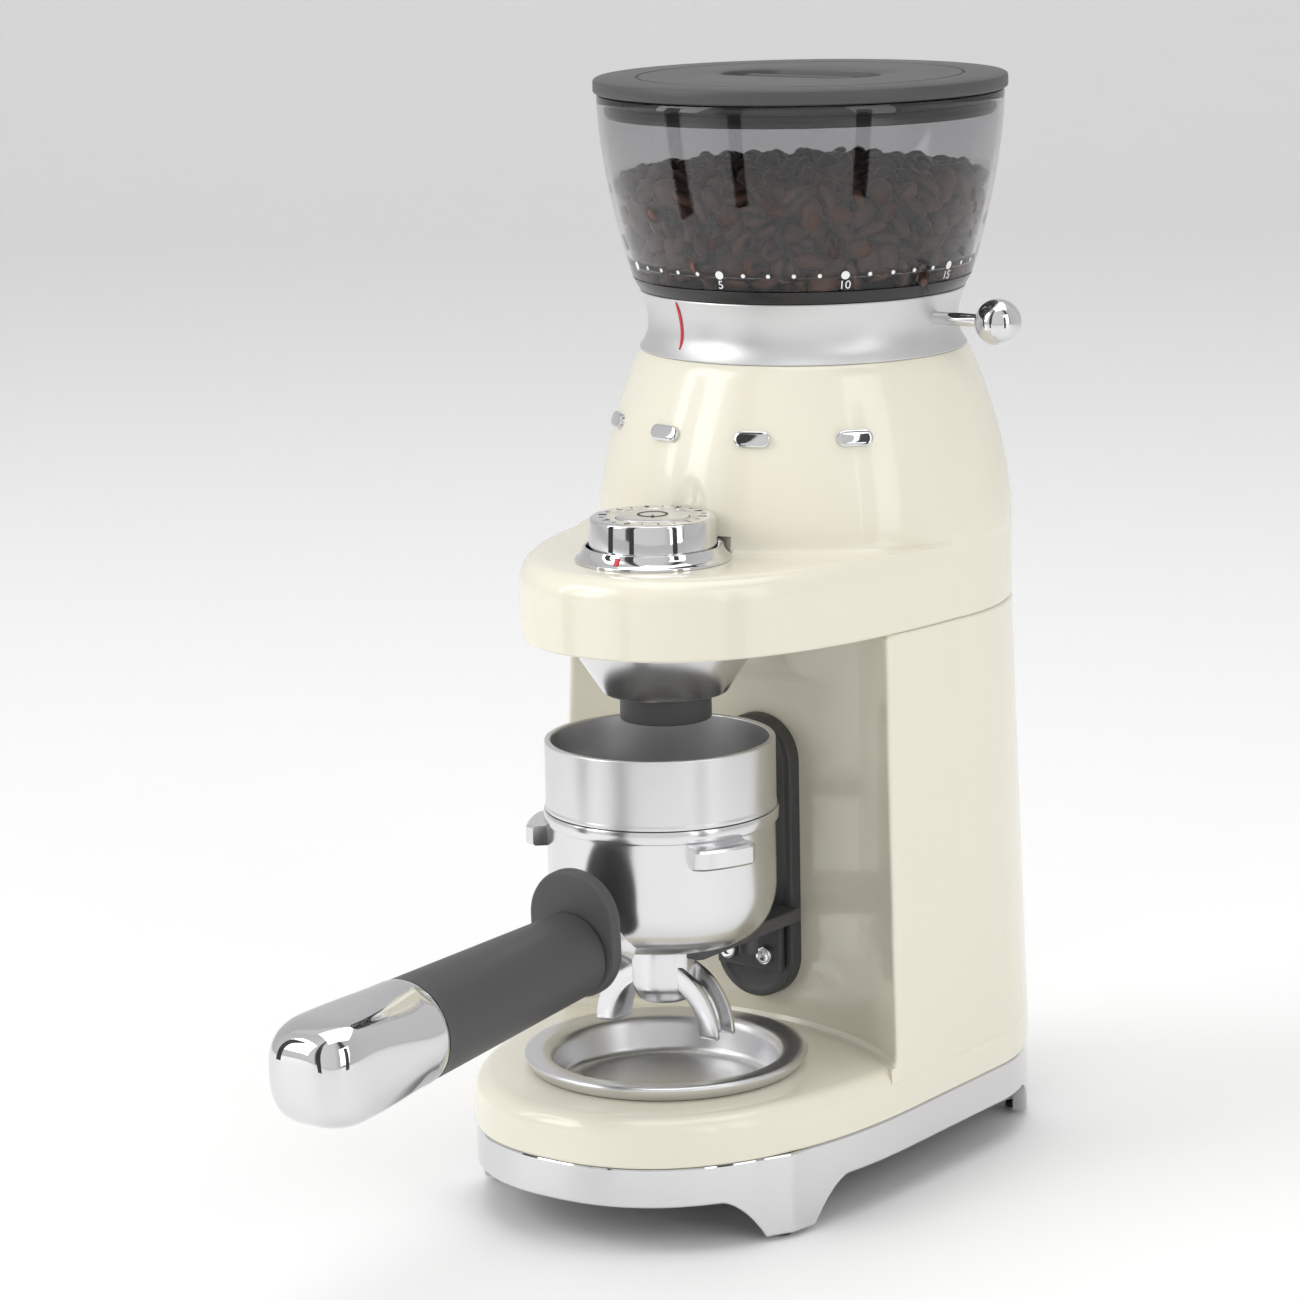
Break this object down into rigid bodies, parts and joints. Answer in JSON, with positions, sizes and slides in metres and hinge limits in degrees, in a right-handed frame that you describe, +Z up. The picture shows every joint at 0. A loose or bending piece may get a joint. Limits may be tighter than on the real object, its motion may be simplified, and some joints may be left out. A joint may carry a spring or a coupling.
{
  "type": "burr coffee grinder",
  "caption": "Espresso coffee grinder: domed cream body, clear bean hopper, chrome dial on an overhanging shelf, and a fork holding a portafilter over a crumb tray.",
  "frame": {"origin": "on the floor under the axis that the hopper and the burrs share", "axes": "+Z up; -Y is the front, where the portafilter sits; +X is the side that the lever points to"},
  "size_m": [0.1665, 0.3864, 0.3926],
  "materials": {
    "cream_paint": "gloss cream enamel",
    "chrome": "polished chrome",
    "satin_steel": "satin brushed steel",
    "dark_plastic": "fine matt dark grey",
    "clear_smoke": "clear smoke-tinted plastic",
    "black_plastic": "gloss black",
    "rubber": "matt",
    "steel": "plated",
    "burr_steel": "ground",
    "nylon": "natural",
    "winding": "varnished",
    "board": "lacquered",
    "bean": "roasted, slightly oily",
    "aluminium": "turned",
    "red_mark": "printed"
  },
  "bodies": {
    "housing": {"base_ring": "chrome", "foot_pads": "rubber", "bottom_plate": "dark_plastic", "bottom_screws": "steel", "lower_housing": "cream_paint", "upper_housing": "cream_paint", "collar": "satin_steel", "collar_index": "red_mark", "badge_bars": "chrome", "dial_bezel": "chrome", "chute_cone": "chrome", "chute_nozzle": "dark_plastic", "chute_duct": "black_plastic", "fork_plate": "dark_plastic", "fork": "dark_plastic", "fork_screws": "steel", "mounting_plate": "steel", "plate_screws": "steel", "motor_can": "steel", "stator_core": "winding", "gearbox_case": "black_plastic", "gearbox_cover": "steel", "idler_pin": "steel", "shaft_bearings": "steel", "grind_chamber": "aluminium", "chamber_screws": "steel", "control_board": "board", "dial_encoder": "dark_plastic", "start_switch": "black_plastic", "cord_gland": "rubber"},
    "hopper": {"hopper_foot": "black_plastic", "hopper_bowl": "clear_smoke", "bean_charge": "bean", "burr_carrier": "black_plastic", "ring_burr": "burr_steel"},
    "lid": {"lid_cap": "dark_plastic", "lid_seal": "rubber"},
    "lever": {"lever_rod": "chrome", "lever_ball": "chrome"},
    "dial": {"dial_knob": "chrome"},
    "start": {"start_button": "satin_steel"},
    "burr": {"cone_burr": "burr_steel", "burr_nut": "steel", "drive_shaft": "steel", "output_gear": "nylon", "sweeper": "nylon"},
    "idler": {"idler_gear": "nylon"},
    "motor": {"motor_shaft": "steel", "motor_pinion": "steel", "rotor_core": "steel"},
    "tray": {"crumb_tray": "satin_steel"},
    "portafilter": {"portafilter_bowl": "chrome", "filter_basket": "satin_steel", "dosing_ring": "aluminium", "twin_spout": "chrome", "thumb_guard": "dark_plastic", "handle_grip": "dark_plastic", "handle_cap": "chrome", "handle_bolt": "steel"}
  },
  "joints": [
    {"name": "hopper_turn", "type": "hinge", "parent": "housing", "child": "hopper", "pos_m": [0, 0, 0.31], "axis": [0, 0, 1], "range_deg": [-228, 18]},
    {"name": "lid_lift", "type": "slide", "parent": "hopper", "child": "lid", "axis": [0, 0, 1], "range_m": [0, 0.08]},
    {"name": "lever_pull", "type": "slide", "parent": "housing", "child": "lever", "axis": [1, 0, 0], "range_m": [0, 0.006], "stiffness_N_per_m": 400},
    {"name": "dial_turn", "type": "hinge", "parent": "housing", "child": "dial", "pos_m": [0, -0.0957, 0.24], "axis": [0, 0, 1], "range_deg": [-150, 150]},
    {"name": "start_press", "type": "slide", "parent": "dial", "child": "start", "axis": [0, 0, -1], "range_m": [0, 0.0015], "stiffness_N_per_m": 600},
    {"name": "burr_spin", "type": "hinge", "parent": "housing", "child": "burr", "pos_m": [0, 0, 0.25], "axis": [0, 0, 1], "continuous": true},
    {"name": "idler_spin", "type": "hinge", "parent": "housing", "child": "idler", "pos_m": [0.024, 0.02548, 0.22], "axis": [0, 0, 1], "continuous": true},
    {"name": "motor_spin", "type": "hinge", "parent": "housing", "child": "motor", "pos_m": [0, 0.02548, 0.15], "axis": [0, 0, 1], "continuous": true},
    {"name": "tray_lift", "type": "slide", "parent": "housing", "child": "tray", "axis": [0, 0, 1], "range_m": [0, 0.006]},
    {"name": "portafilter_slide", "type": "slide", "parent": "housing", "child": "portafilter", "axis": [0, -1, 0], "range_m": [0, 0.15]}
  ],
  "couplings": [
    {"joint": "idler_spin", "follows": "burr_spin", "ratio": -3},
    {"joint": "motor_spin", "follows": "burr_spin", "ratio": 9}
  ]
}
